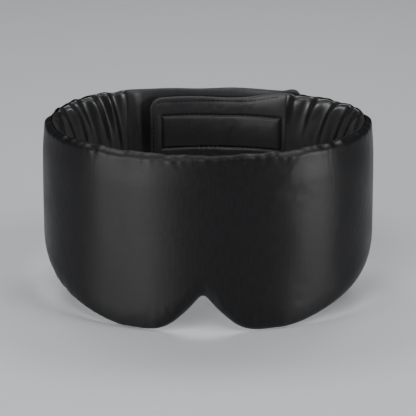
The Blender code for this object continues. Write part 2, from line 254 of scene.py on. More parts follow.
def fillWithAir(obj, fullness, held, limit):
    before = readPoints(obj.data)
    flat, ply = readCut(obj.data)
    obj.shape_key_add(name="Basis")
    rest = obj.shape_key_add(name="Cut")
    away = np.where(ply == 0, cloth["apart"], -cloth["apart"])
    points = np.stack([flat[:, 0] * fullness[0], away, flat[:, 1] * fullness[1]], axis=1)
    rest.data.foreach_set("co", points.astype(np.float32).ravel())
    group = obj.vertex_groups.new(name="held")
    group.add([int(i) for i in np.nonzero(held)[0]], 1.0, "REPLACE")
    modifier = obj.modifiers.new("air", "CLOTH")
    s = modifier.settings
    s.quality, s.mass, s.air_damping = cloth["quality"], cloth["mass"], cloth["air"]
    s.tension_stiffness = s.compression_stiffness = cloth["tension"]
    s.shear_stiffness, s.bending_stiffness = cloth["shear"], cloth["bending"]
    s.tension_damping = s.compression_damping = s.shear_damping = cloth["damping"]
    s.use_pressure, s.uniform_pressure_force = True, cloth["pressure"]
    s.vertex_group_mass, s.pin_stiffness = "held", 1
    s.rest_shape_key = rest
    s.effector_weights.gravity = 0
    modifier.collision_settings.use_collision = False
    scene.frame_start, scene.frame_end = 1, cloth["frames"]
    modifier.point_cache.frame_end = cloth["frames"]
    for number in range(1, cloth["frames"] + 1):
        scene.frame_set(number)
    after = readPoints(obj.evaluated_get(bpy.context.evaluated_depsgraph_get()).data)
    moved = after - before
    size = np.linalg.norm(moved, axis=1, keepdims=True)
    print(obj.name, "moved", np.round(np.percentile(size, (50, 95, 100)) * 1000, 2), "mm")
    moved *= np.minimum(1, limit / np.maximum(size, 1e-9))
    obj.modifiers.remove(modifier)
    obj.shape_key_clear()
    obj.data.vertices.foreach_set("co", (before + moved).astype(np.float32).ravel())
    obj.data.update()
    scene.frame_set(1)


def layCut(shape):
    # the cut's own length and height become the UV map, so that the weave follows the cloth
    cut = shape.verts.layers.float_vector["cut"]
    layer = shape.loops.layers.uv.new("UVMap")
    for face in shape.faces:
        face.smooth = True
        for loop in face.loops:
            loop[layer].uv = (loop.vert[cut][0], loop.vert[cut][1])


def takePly(pillow, name, ply, thickness):
    shape = bmesh.new()
    shape.from_mesh(pillow.data)
    tag = shape.verts.layers.int["ply"]
    unwanted = [f for f in shape.faces if any(v[tag] != ply for v in f.verts)]
    bmesh.ops.delete(shape, geom=unwanted, context="FACES")
    bmesh.ops.delete(shape, geom=[v for v in shape.verts if not v.link_faces], context="VERTS")
    layCut(shape)
    obj = addObject(name, takeShape(shape, name))
    wall = obj.modifiers.new("wall", "SOLIDIFY")
    wall.thickness, wall.offset = thickness, -1
    finer = obj.modifiers.new("finer", "SUBSURF")
    finer.levels = finer.render_levels = 1
    return obj


def takePlies(pillow, names, thickness):
    plies = [takePly(pillow, name, ply, thickness) for ply, name in enumerate(names)]
    bpy.data.objects.remove(pillow)
    return plies


# Front panel
front = {
    "step": 0.0016, "rows": 47, "edge": 0.0140, "endEdge": 0.0060, "overlap": 0.0010, "out": 0.0050,
    "in": 0.0038, "seam": 0.0003, "sewn": 0.0012, "wall": 0.0005, "fullness": (1.05, 1.0), "cap": 0.0016,
    "cut": (0.108, 0.286),
    "pucker": 0.0007, "puckerPitch": 0.0062, "creaseWidth": 0.20,
    "hollow": 0.0010, "hollowAt": 0.030, "hollowWidth": 0.014,
}


def frontFill(length, height, way=1):
    below = mask["rim"] - height
    if way > 0:
        rise = 0.80 * edgeRise(below, 0.0032) + 0.20 * smoothStep(below / 0.020)  # tight under the rim
    else:
        rise = 0.85 * edgeRise(below, 0.0050) + 0.15 * smoothStep(below / 0.020)
    rise = rise * edgeRise(height - frontBottom(length), front["edge"])
    return rise * edgeRise(mask["frontHalf"] + front["overlap"] - np.abs(length), front["endEdge"])


def frontHollow(length):
    # a soft upright hollow beside the nose
    return front["hollow"] * np.exp(-((length - front["hollowAt"]) / front["hollowWidth"]) ** 2)


def frontRise(length, fraction):
    return frontBottom(length) + (mask["rim"] - frontBottom(length)) * fraction


def rimPuckers(length, below, seed):
    # narrow creases where the stitches pull, about 6 mm apart, with the cloth puffed up between them
    phase = length / front["puckerPitch"] + 0.8 * grain(length, below * 0, (0.016, 1), seed)
    crease = np.exp(-((phase - np.floor(phase) - 0.5) / front["creaseWidth"]) ** 2)
    where = np.clip(0.7 + 0.9 * grain(length, below * 0, (0.022, 1), seed + 7), 0.12, 1.3)
    loose = 0.8 * grain(length, below * 0, (0.0045, 1), seed + 3)
    return where * (0.25 - crease + loose) * np.exp(-below / 0.0055) * np.clip(0.25 + below / 0.002, 0, 1)


def frontPlace(way, reach, seed):
    def place(length, height):
        below = mask["rim"] - height
        above = height - frontBottom(length)
        depth, fade = (1.2, 1.6) if way > 0 else (4.0, 1)  # the looser lining puckers more
        wrinkle = front["pucker"] * depth * rimPuckers(length, below * fade, seed)
        wrinkle += front["pucker"] * 0.7 * rimPuckers(length, above, seed + 3)
        wrinkle += 0.0010 * grain(length, height, (0.035, 0.060), seed + 5) * frontFill(length, height)
        wrinkle *= np.clip(below / 0.001, 0.3, 1)
        offset = front["seam"] + reach * frontFill(length, height, way) + wrinkle
        offset = offset - (frontHollow(length) * smoothStep(below / 0.006) if way > 0 else 0)
        x, y = onLoop(length, flareOut(length, height) + way * offset)
        lift = 0.0009 * grain(length, below * 0, (0.0058, 1), 21.5) * np.exp(-below / 0.004)
        return x, y, height + lift
    return place


def makeFront():
    reach = mask["frontHalf"] + front["overlap"]
    lengths = spaced([-reach, mask["noseOffset"], reach], front["step"])
    outer, inner = frontPlace(1, front["out"], 2.5), frontPlace(-1, front["in"], 2.5)
    pillow = makePillow("frontPillow", lengths, bunched(front["rows"], 0.35), frontRise, outer, inner)
    flat, ply = readCut(pillow.data)
    below, above, sewn = mask["rim"] - flat[:, 1], flat[:, 1] - frontBottom(flat[:, 0]), front["sewn"]
    held = (below < sewn) | (above < sewn) | (np.abs(flat[:, 0]) > mask["frontHalf"] - sewn)
    fillWithAir(pillow, front["fullness"], held, front["cap"])
    cover, lining = takePlies(pillow, ("frontCover", "frontLining"), front["wall"])
    for piece, node, slot in (cover, "outer_shell", "satin_shell"), (lining, "lining", "satin_lining"):
        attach(piece, "front")
        standFor(piece, "front_" + node, slot)
    return cover, lining


frontCover, frontLining = makeFront()
print("front panel made")

# Gathered sides. Each fold starts at the rim, in mm: its place behind the front seam, its height and its width
side = {
    "step": 0.0015, "rows": 47, "edge": 0.0100, "endEdge": 0.0050, "overlap": 0.0012, "rootEdge": 0.012,
    "out": 0.0034, "in": 0.0026, "seam": 0.0003, "lean": 0.026, "coverLean": 0.004, "wall": 0.0004,
    "tabShift": {"left": 0.0037, "right": -0.0035}, "fullness": 1.08, "cap": 0.0018, "length": 0.0676,
    "height": 0.067,
    "left": [(8, 1.6, 2.2), (20, 3.0, 3.4), (29, 1.2, 1.8), (42, 3.4, 4.0), (54, 2.2, 2.2), (66, 2.6, 3.6)],
    "right": [(3, 1.6, 2.0), (12, 2.3, 2.8), (27, 2.8, 3.6), (42, 2.6, 5.2), (60, 2.8, 5.2)],
}


def sideRise(length, fraction):
    return sideBottom(length) + (mask["rim"] - sideBottom(length)) * fraction


def sideFill(length, height, reach=0.0030):
    rise = edgeRise(mask["rim"] - height, side["edge"]) * edgeRise(height - sideBottom(length), side["edge"])
    rise *= edgeRise(np.abs(length) - sideStart + side["overlap"], side["endEdge"])
    end = 0.00115 / reach  # meets the tab's ply at its root
    return rise * (end + (1 - end) * smoothStep((sideEnd + 0.0004 - np.abs(length)) / side["rootEdge"]))


def gatherFolds(along, below, folds, lean):
    total = np.zeros_like(along)
    for place, height, width in folds:
        path = place / 1000 + lean * (1 - place / 85) * (1 - np.exp(-below / 0.022))
        spread = width / 1000 * (1 + below / 0.050)
        t = (along - path) / spread
        t = t * np.where(t > 0, 1.5, 0.75)  # steeper on the tab's side
        total += 1.35 * height / 1000 * np.exp(-t * t) * (1 / (1 + below / 0.06))
    return total * (1 - 0.6 * np.exp(-below / 0.0015))


def sidePlace(name, way, reach, seed):
    def place(length, height):
        below, above = mask["rim"] - height, height - sideBottom(length)
        along = np.abs(length) - sideStart
        ends = np.clip(along / 0.004, 0, 1) * np.clip(0.45 + (sideEnd - np.abs(length)) / side["rootEdge"], 0, 1)
        if way < 0:
            fine, fold = 0.0006, gatherFolds(along, below, side[name], side["lean"])
        else:
            other = side["right" if name == "left" else "left"]
            folds = [(p * 0.9 + 3, h * 0.8, w * 1.1) for p, h, w in other]
            fine, fold = 0.0003, gatherFolds(along, below, folds, side["coverLean"])
            fold *= 1 - 0.8 * np.exp(-below / 0.010)
        fold += fine * grain(along, below, (0.0040, 0.030), seed) * np.exp(-below / 0.006)
        fold += 0.0011 * grain(along, above, (0.0045, 0.030), seed + 2) * np.exp(-above / 0.012)
        fold += 0.0007 * grain(along - 0.5 * below, below, (0.012, 0.030), seed + 4)
        fold *= ends * np.clip(above / 0.004, 0, 1)
        middle = flareOut(length, height) + side["tabShift"][name] * smoothStep(alongSide(length))
        offset = side["seam"] + reach * sideFill(length, height, reach) + fold
        x, y = onLoop(length, middle + way * offset)
        rimSeed = 6.5 if name == "left" else 26.5  # the same on both plies, so that the rim stays shut
        lift = 0.0011 * grain(along, below * 0, (0.0048, 1), rimSeed) * np.exp(-below / 0.005) * ends
        return x, y, height + lift
    return place


def blendSide(piece, sign):
    start = onLoop(np.array([sign * (sideStart + 0.002)]), np.array([0.0]))
    end = onLoop(np.array([sign * (sideEnd - 0.003)]), np.array([0.0]))
    start, end = [(float(x[0]), float(y[0]), 0.08) for x, y in (start, end)]
    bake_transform(piece)


def makeSide(name, sign):
    lengths = sign * spaced([sideStart - side["overlap"], sideEnd + 0.0010], side["step"])
    seed = 3.5 if name == "left" else 14.5
    outer, inner = sidePlace(name, 1, side["out"], seed), sidePlace(name, -1, side["in"], seed + 20)
    pillow = makePillow(name + "SidePillow", lengths, bunched(side["rows"], 0.3), sideRise, outer, inner)
    flat, ply = readCut(pillow.data)
    below, above = mask["rim"] - flat[:, 1], flat[:, 1] - sideBottom(flat[:, 0])
    away = np.abs(flat[:, 0])
    held = (below < 0.0010) | (above < 0.0010) | (away < sideStart + 0.0008) | (away > sideEnd - 0.0008)
    fillWithAir(pillow, (side["fullness"], 1.02), held, side["cap"])
    cover, lining = takePlies(pillow, (name + "SideCover", name + "SideLining"), side["wall"])
    body = name + "_side"
    for piece, node, slot in (cover, "_outer", "satin_shell"), (lining, "_lining", "satin_lining"):
        standFor(piece, body + node, slot)
        blendSide(piece, sign)
    return cover, lining


leftCover, leftLining = makeSide("left", -1)
rightCover, rightLining = makeSide("right", 1)
print("sides made")

# Tabs: two flat plies with a thin filling, the tape sewn on through the one that faces it
tabs = {
    "thickness": 0.0037, "corner": 0.0080, "shoulder": 0.0300, "step": 0.0014, "wall": 0.0004, "cap": 0.0009,
    "groove": 0.0007, "puff": 0.0006, "middlePuff": 0.0010, "edgeStitch": 0.0024, "edgeDip": 0.0006, "bend": 0.010,
    "fullness": (1.03, 1.03), "cutHeight": 0.055, "waddingMargin": 0.0040,
    "tapeMiddle": 0.0808, "tapeHalf": 0.0125, "stitchInset": 0.0020,
}
outerTab = {
    "name": "outer", "body": "outer_tab", "parent": "left_side", "root": -rootArc, "tip": 0.0585, "way": 1,
    "face": 0.00185, "top": 0.1065, "bottom": 0.0530, "tape": (-0.0340, 0.0520), "track": onOuterTab, "seed": 31.5,
}
innerTab = {
    "name": "inner", "body": "inner_tab", "parent": "right_side", "root": rootArc, "tip": -0.0386, "way": -1,
    "face": -0.00165, "top": 0.1030, "bottom": 0.0586, "tape": (-0.0321, 0.0499), "track": onArc, "seed": 47.5,
}
for tab in outerTab, innerTab:
    tab["along"] = 1 if tab["tip"] > tab["root"] else -1
    tab["middle"] = tab["face"] + tab["way"] * tabs["thickness"] / 2
tapeMiddle, tapeHalf, stitchInset = tabs["tapeMiddle"], tabs["tapeHalf"], tabs["stitchInset"]


def tabEdges(tab, length):
    along = tab["along"]
    fromTip = np.clip(along * (tab["tip"] - length), 0, tabs["corner"])
    drop = tabs["corner"] - np.sqrt(tabs["corner"] ** 2 - (tabs["corner"] - fromTip) ** 2)
    t = smoothStep(along * (length - tab["root"]) / tabs["shoulder"])
    low = mask["strapBottom"] + (tab["bottom"] - mask["strapBottom"]) * t + drop
    return low, mask["rim"] + (tab["top"] - mask["rim"]) * t - drop


def stitchBox(tab):
    return (tab["tape"][0] + stitchInset, tab["tape"][1] - stitchInset,
            tapeMiddle - tapeHalf + stitchInset, tapeMiddle + tapeHalf - stitchInset)


def tabRise(tab, stops):
    def rise(length, fraction):
        low, high = tabEdges(tab, length)
        box = stitchBox(tab)
        spans = [low, low * 0 + box[2], low * 0 + box[3], high]
        height = low.copy()
        for i in range(3):
            inside = (fraction >= stops[i] - 1e-9) & (fraction <= stops[i + 1] + 1e-9)
            part = (fraction - stops[i]) / (stops[i + 1] - stops[i])
            height = np.where(inside, spans[i] + (spans[i + 1] - spans[i]) * part, height)
        return height
    return rise


def tabDistances(tab, length, height):
    # how far a point is from the tab's edge, its root and its stitched rectangle, and whether it is within that
    along = tab["along"]
    low, high = tabEdges(tab, length)
    edge = np.minimum(np.minimum(height - low, high - height), along * (tab["tip"] - length))
    root = along * (length - tab["root"])
    left, right, bottom, top = stitchBox(tab)
    dx = np.maximum(left - length, length - right)
    dy = np.maximum(bottom - height, height - top)
    outside = np.hypot(np.maximum(dx, 0), np.maximum(dy, 0))
    seam = np.where(outside > 0, outside, np.abs(np.maximum(dx, dy)))
    return np.maximum(edge, 0), np.maximum(root, 0), seam, (dx < 0) & (dy < 0)


def tabPlace(tab, facing):
    def place(length, height):
        edge, root, seam, within = tabDistances(tab, length, height)
        full = edgeRise(np.minimum(edge, root + 0.0020), 0.0030)
        groove = np.exp(-(seam / tabs["groove"]) ** 2)
        offset = 0.00025 + 0.00120 * full
        if facing:
            border = edgeRise(np.minimum(np.minimum(seam, edge), root + 0.002), 0.0060)
            puff = np.where(within, tabs["middlePuff"] * edgeRise(seam, 0.0100), tabs["puff"] * border)
            broad = grain(length, height, (0.016, 0.011), tab["seed"])
            small = grain(length, height, (0.0035, 0.0035), tab["seed"] + 2)
            puff = puff + 0.00050 * broad * smoothStep(seam / 0.004) + 0.00022 * small * np.exp(-seam / 0.003)
            line = np.exp(-((edge - tabs["edgeStitch"]) / tabs["groove"]) ** 2) * np.clip(root / 0.006, 0, 1)
            offset = offset * (1 - 0.70 * groove) + puff * (1 - groove) - tabs["edgeDip"] * line
            if tab["name"] == "inner":
                offset = offset - 0.0003 * np.clip(1 - root / 0.004, 0, 1)
        elif tab["name"] == "outer":
            # the strap is gathered into its root, so soft folds run on to where the other tab covers it
            below = mask["rim"] - height
            ridge = np.exp(-((root - 0.0035 - 0.006 * (1 - np.exp(-below / 0.02))) / 0.0030) ** 2)
            fold = 1.2 * ridge + 0.5 * grain(length, height, (0.0050, 0.03), 8.5)
            offset = offset + 0.0013 * fold * np.clip(1 - root / 0.024, 0, 1) * np.clip(edge / 0.004, 0.2, 1)
        x, y = tab["track"](length, tab["middle"] + (tab["way"] if facing else -tab["way"]) * offset)
        high = tabEdges(tab, length)[1]
        nearTop = np.clip(1 - (high - height) / 0.02, 0, 1)
        wave = grain(length, 0 * height, (0.026, 1), tab["seed"] + 4)
        lift = 0.0010 * nearTop * wave * np.clip(root / 0.01, 0, 1)
        if tab["name"] == "outer":
            lift = lift + 0.0030 * smoothStep((length - 0.046) / 0.0125) * nearTop ** 2
        return x, y, height + lift
    return place


def roundTip(tab):
    # lengths round the corner, closer together towards the free end
    turn = 1 - np.sin(np.radians([12, 25, 38, 50, 62, 74, 90]))
    return tab["tip"] - tab["along"] * tabs["corner"] * turn


def tabLengths(tab):
    along, corner = tab["along"], tabs["corner"]
    root = tab["root"] - 0.0003 * along
    ends = stitchBox(tab)[:2]
    near, far = ends if along > 0 else ends[::-1]
    stops = [root, near, far, tab["tip"] - along * corner]
    if abs(tab["tip"] - far) <= corner + 0.001:
        stops.remove(far)
    across = (-0.0011, -0.0005, 0, 0.0005, 0.0011)  # over the width of the stitches
    close = [end + away for end in (near, far) for away in across]
    body = [p for p in spaced(stops, tabs["step"]) if all(abs(p - q) > 0.0008 for q in close)]
    body += [q for q in close if (q - root) * along > 0.0003]
    body = sorted(body, key=lambda p: p * along)
    return np.array(body + [p for p in roundTip(tab) if (p - body[-1]) * along > 0.0003])


def bendAtRoot(piece, tab):
    x0, y0 = onArc(tab["root"] + tab["along"] * 0.0003, tab["middle"])
    x1, y1 = onArc(tab["root"] + tab["along"] * tabs["bend"], tab["middle"])
    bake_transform(piece)


def makeTab(tab):
    lengths = tabLengths(tab)
    stops = [0, 0.25, 0.75, 1]  # where the rows meet the stitched rectangle
    low, middle, high = bunched(15, 0.75), bunched(21, 0.75), bunched(15, 0.75)
    rows = np.concatenate([0.25 * low[:-1], 0.25 + 0.5 * middle[:-1], 0.75 + 0.25 * high])
    outwards = tab["way"] > 0
    outer, inner = tabPlace(tab, outwards), tabPlace(tab, not outwards)
    pillow = makePillow(tab["name"] + "TabPillow", lengths, rows, tabRise(tab, stops), outer, inner)
    flat, ply = readCut(pillow.data)
    edge, root, seam, within = tabDistances(tab, flat[:, 0], flat[:, 1])
    facing = 0 if outwards else 1
    held = (ply != facing) | (edge < 0.0010) | (root < 0.0010) | (seam < 0.0004)
    fillWithAir(pillow, tabs["fullness"], held, tabs["cap"])
    outer, inner = takePlies(pillow, (tab["name"] + "TabOuterPly", tab["name"] + "TabInnerPly"), tabs["wall"])
    for piece, node, slot in (outer, "_outer_ply", "satin_shell"), (inner, "_inner_ply", "satin_lining"):
        standFor(piece, tab["body"] + node, slot)
        bendAtRoot(piece, tab)
    return outer, inner


outerTabOuter, outerTabInner = makeTab(outerTab)
innerTabOuter, innerTabInner = makeTab(innerTab)
print("tabs made")


# What is inside: foam, blackout felt, wadding and elastics
def makeSlab(name, lengths, rows, rise, track, outer, inner, fine=1):
    def place(surface):
        def at(length, height):
            x, y = track(length, surface(length, height))
            return x, y, height
        return at
    pillow = makePillow(name, lengths, rows, rise, place(outer), place(inner))
    shape = bmesh.new()
    shape.from_mesh(pillow.data)
    layCut(shape)
    shape.to_mesh(pillow.data)
    shape.free()
    if fine:
        finer = pillow.modifiers.new("finer", "SUBSURF")
        finer.levels = finer.render_levels = fine
    return pillow


filling = {
    "foamMargin": 0.0060, "feltMargin": 0.0045, "waddingMargin": 0.0095, "waddingEnd": 0.0055, "clear": 0.0015,
    "sideClear": 0.0008, "felt": 0.0005, "feltGap": 0.0004, "step": 0.0045, "feltCut": (0.099, 0.272),
    "elasticWidth": 0.006, "elasticHalf": 0.0004, "ripple": 0.00035, "ripplePitch": 0.0052,
}
rowsInside = bunched(19, 1)


def insetRise(rise, margin):
    def at(length, fraction):
        low, high = rise(length, 0 * length), rise(length, 0 * length + 1)
        return low + margin + (high - low - 2 * margin) * fraction
    return at


def shellAt(length, height):
    padded = front["out"] * frontFill(length, height)
    return flareOut(length, height) + front["seam"] + padded - frontHollow(length)


def foamFace(way):
    def at(length, height):
        margin = filling["foamMargin"]
        top = shellAt(length, height) - filling["clear"] - filling["felt"] - filling["feltGap"]
        low = flareOut(length, height) - front["seam"] - front["in"] * frontFill(length, height, -1)
        low = low + filling["clear"]
        away = np.minimum(mask["rim"] - margin - height, height - frontBottom(length) - margin)
        away = np.minimum(away, mask["frontHalf"] - margin - np.abs(length))
        return (top + low) / 2 + way * (top - low) / 2 * np.maximum(edgeRise(away, 0.0035), 0.15)
    return at


def makeFrontFilling():
    made = []
    for name, margin, outer, inner in (
        ("foamPad", filling["foamMargin"], foamFace(1), foamFace(-1)),
        ("blackoutFelt", filling["feltMargin"], lambda length, height: shellAt(length, height) - filling["clear"],
         lambda length, height: shellAt(length, height) - filling["clear"] - filling["felt"]),
    ):
        reach = mask["frontHalf"] - margin
        lengths = spaced([-reach, mask["noseOffset"], reach], filling["step"])
        made.append(makeSlab(name, lengths, rowsInside, insetRise(frontRise, margin), onLoop, outer, inner))
    foam, felt = made
    for piece, node, slot in (foam, "foam_pad", "foam"), (felt, "blackout_layer", "blackout_felt"):
        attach(piece, "front")
        standFor(piece, "front_" + node, slot)
    return foam, felt


foamPad, blackoutFelt = makeFrontFilling()


def makeSideFilling(name, sign):
    margin, clear, end = filling["waddingMargin"], filling["sideClear"], filling["waddingEnd"]

    def middle(length, height):
        return flareOut(length, height) + side["tabShift"][name] * smoothStep(alongSide(length))

    def face(way, reach):
        def at(length, height):
            away = np.minimum(mask["rim"] - margin - height, height - sideBottom(length) - margin)
            away = np.minimum(away, np.minimum(np.abs(length) - sideStart - end, sideEnd - end - np.abs(length)))
            half = np.maximum(edgeRise(away, 0.004), 0.15)
            return middle(length, height) + way * (reach * sideFill(length, height) - clear) * half
        return at

    lengths = sign * spaced([sideStart + end, sideEnd - end], 0.0035)
    wadding = makeSlab(name + "Wadding", lengths, rowsInside[::2], insetRise(sideRise, margin), onLoop,
                       face(1, side["out"]), face(-1, side["in"]))
    made = [(wadding, "_side_wadding", "wadding")]

    def band(way):
        def at(length, height):
            ripple = filling["ripple"] * np.sin(np.abs(length) * 2 * math.pi / filling["ripplePitch"])
            return middle(length, height) + way * filling["elasticHalf"] + ripple
        return at

    for place in ("Top", "Bottom"):
        def bandRise(length, fraction, place=place):
            low = mask["rim"] - 0.0085 + 0 * length if place == "Top" else sideBottom(length) + 0.0025
            return low + filling["elasticWidth"] * fraction
        lengths = sign * spaced([sideStart + 0.002, sideEnd - 0.002], 0.0011)
        across = np.linspace(0, 1, 5)
        elastic = makeSlab(name + place + "Elastic", lengths, across, bandRise, onLoop, band(1), band(-1))
        made.append((elastic, f"_side_{place.lower()}_elastic", "woven_elastic"))
    for piece, node, slot in made:
        standFor(piece, name + node, slot)
        blendSide(piece, sign)
    return [piece for piece, node, slot in made]


leftWadding, leftTopElastic, leftBottomElastic = makeSideFilling("left", -1)
rightWadding, rightTopElastic, rightBottomElastic = makeSideFilling("right", 1)


def makeTabFilling(tab):
    along, margin = tab["along"], tabs["waddingMargin"]

    def face(way):
        def at(length, height):
            # thin under the stitches, so that it stays below the groove
            edge, root, seam, within = tabDistances(tab, length, height)
            flat = edgeRise(np.maximum(np.minimum(edge, root) - margin, 0), 0.003)
            return tab["middle"] + way * (0.0001 + 0.0005 * flat * (1 - np.exp(-(seam / 0.0026) ** 2)))
        return at

    def rise(length, fraction):
        low, high = tabEdges(tab, length)
        return low + margin + (high - low - 2 * margin) * fraction

    lengths = spaced([tab["root"] + along * margin, tab["tip"] - along * margin], 0.0013)
    rows = np.linspace(0, 1, 33)
    pad = makeSlab(tab["name"] + "TabWadding", lengths, rows, rise, tab["track"], face(1), face(-1), fine=0)
    standFor(pad, tab["body"] + "_padding", "wadding")
    bendAtRoot(pad, tab)
    return pad


outerTabWadding, innerTabWadding = makeTabFilling(outerTab), makeTabFilling(innerTab)
print("fillings made")

# Hook-and-loop tape: 25 mm wide, hooks 0.8 mm tall on the inner tab and a pile of loops on the outer one
tape = {
    "selvage": 0.0018, "base": 0.00045, "hookPitch": (0.0017, 0.0015), "hookHeight": 0.00078,
    "hookRadius": 0.00019, "hookWire": 0.00008, "loopCount": 1700, "loopRadius": 0.00038, "loopWire": 0.00006,
}


def makeTape(tab, name, node, face, back):
    # face is the offset of the woven base's working side, back the offset of the side that is sewn down
    def rise(length, fraction):
        return tapeMiddle + tapeHalf * (2 * fraction - 1) + 0 * length

    def level(offset):
        return lambda length, height: offset + 0 * length

    lengths = spaced([tab["tape"][0], tab["tape"][1]], 0.002)
    outer, inner = level(max(face, back)), level(min(face, back))
    base = makeSlab(name, lengths, np.linspace(0, 1, 15), rise, tab["track"], outer, inner, fine=0)
    standFor(base, node, "nylon_tape")
    return base


def growHook(height, radius, wire):
    shape = bmesh.new()
    bmesh.ops.create_circle(shape, segments=5, radius=wire)
    made = bmesh.ops.extrude_edge_only(shape, edges=shape.edges[:])
    top = [v for v in made["geom"] if isinstance(v, bmesh.types.BMVert)]
    bmesh.ops.translate(shape, verts=top, vec=(0, 0, height - radius))
    edges = [e for e in made["geom"] if isinstance(e, bmesh.types.BMEdge)]
    bmesh.ops.spin(shape, geom=top + edges, cent=(radius, 0, height - radius), axis=(0, 1, 0),
                   angle=math.radians(215), steps=5)
    bmesh.ops.holes_fill(shape, edges=[e for e in shape.edges if e.is_boundary], sides=5)
    bmesh.ops.recalc_face_normals(shape, faces=shape.faces)
    return takeShape(shape, "hookShape")


def growLoop(radius, wire):
    shape = bmesh.new()
    bmesh.ops.create_circle(shape, segments=4, radius=wire, matrix=Matrix.Translation((radius, 0, 0)))
    bmesh.ops.spin(shape, geom=shape.verts[:] + shape.edges[:], cent=(0, 0, 0), axis=(0, 1, 0),
                   angle=math.radians(-190), steps=6)
    bmesh.ops.recalc_face_normals(shape, faces=shape.faces)
    return takeShape(shape, "loopShape")


def plantAll(name, seedMesh, places):
    shape = bmesh.new()
    for matrix in places:
        copy = seedMesh.copy()
        copy.transform(matrix)
        shape.from_mesh(copy)
        bpy.data.meshes.remove(copy)
    for face in shape.faces:
        face.smooth = True
    obj = addObject(name, takeShape(shape, name))
    return obj


def standing(tab, length, height, offset, way, spin):
    # a frame on the tape's face, its Z pointing out of the face
    x, y = tab["track"](length, offset)
    x1, y1 = tab["track"](length, offset + way * 0.001)
    out = Vector((x1 - x, y1 - y, 0)).normalized()
    flat = out.cross(Vector((0, 0, 1)))
    frameAxes = Matrix((flat, Vector((0, 0, 1)), out)).transposed().to_4x4()
    return Matrix.Translation((x, y, height)) @ frameAxes @ Matrix.Rotation(spin, 4, "Z")


def makeHooks(tab, offset, way):
    hook = growHook(tape["hookHeight"], tape["hookRadius"], tape["hookWire"])
    places = []
    pitch, bare = tape["hookPitch"], tape["selvage"]
    heights = np.arange(tapeMiddle - tapeHalf + bare, tapeMiddle + tapeHalf - bare, pitch[1])
    for i, length in enumerate(np.arange(tab["tape"][0] + bare, tab["tape"][1] - bare, pitch[0])):
        for j, height in enumerate(heights):
            turn = math.pi * (j % 2) + 0.35 * noise.noise(Vector((i * 0.7, j * 0.7, 3)))
            places.append(standing(tab, length + (j % 2) * pitch[0] / 2, height, offset, way, turn))
    return plantAll("hooks", hook, places)


def makeLoops(tab, offset, way):
    loop = growLoop(tape["loopRadius"], tape["loopWire"])
    draw = np.random.default_rng(12)
    start, span = tab["tape"][0] + tape["selvage"], tab["tape"][1] - tab["tape"][0] - 2 * tape["selvage"]
    rise = 2 * (tapeHalf - tape["selvage"])
    places = []
    for a, b, turn, size in draw.random((tape["loopCount"], 4)):
        place = standing(tab, start + a * span, tapeMiddle - rise / 2 + b * rise, offset, way, turn * math.pi)
        places.append(place @ Matrix.Diagonal((1, 1, 1.1 + 0.9 * size, 1)))
    return plantAll("loopPile", loop, places)


hookBack, loopBack = -0.00135, 0.00155
hookTape = makeTape(innerTab, "hookTape", "hook_tape", hookBack + tape["base"], hookBack)
loopTape = makeTape(outerTab, "loopTape", "loop_tape", loopBack - tape["base"], loopBack)
hooks = makeHooks(innerTab, hookBack + tape["base"], 1)
loopPile = makeLoops(outerTab, loopBack - tape["base"], -1)
for piece in (hookTape, hooks):
    bendAtRoot(piece, innerTab)
for piece in (loopTape, loopPile):
    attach(piece, "outer_tab")
print("tapes made")

# Threads: each run dips into the cloth between its stitches
stitch = {
    "pitch": 0.0030, "thread": 0.00028, "dip": 0.0011, "tapeProud": 0.00066, "edgeProud": 0.00165,
    "seamPitch": 0.0022, "seamDip": 0.0002, "seamInset": 0.0015,
}


def sew(name, track, run, offset, way, closed, pitch, dip):
    run = np.array(run + run[:1] if closed else run, float)
    steps = np.concatenate([[0], np.cumsum(np.hypot(*np.diff(run, axis=0).T))])
    count = max(2, round(steps[-1] / pitch)) * 8
    at = np.linspace(0, steps[-1], count + 1)
    length, height = np.interp(at, steps, run[:, 0]), np.interp(at, steps, run[:, 1])
    phase = np.arange(count + 1) % 8
    depth = np.select([phase == 0, (phase == 1) | (phase == 7)], [1.0, 0.45], 0.0) * dip
    base = offset(length, height) if callable(offset) else offset
    x, y = track(length, base - way * depth)
    curve = bpy.data.curves.new(name, "CURVE")
    curve.dimensions = "3D"
    curve.bevel_depth, curve.bevel_resolution, curve.use_fill_caps = stitch["thread"], 1, True
    spline = curve.splines.new("POLY")
    spline.points.add(count - (1 if closed else 0))
    for i, point in enumerate(spline.points):
        point.co = (x[i], y[i], height[i], 1)
    spline.use_cyclic_u = closed
    holder = addObject(name + "Path", curve)
    bpy.context.view_layer.update()
    mesh = bpy.data.meshes.new_from_object(holder.evaluated_get(bpy.context.evaluated_depsgraph_get()))
    bpy.data.objects.remove(holder)
    mesh.shade_smooth()
    obj = addObject(name, mesh)
    return obj


def tapeThread(tab, name, node):
    left, right, low, high = stitchBox(tab)
    surface = tab["middle"] + tab["way"] * stitch["tapeProud"]
    corners = [(left, low), (right, low), (right, high), (left, high)]
    obj = sew(name, tab["track"], corners, surface, tab["way"], True, stitch["pitch"], stitch["dip"])
    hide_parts(node)
    return obj


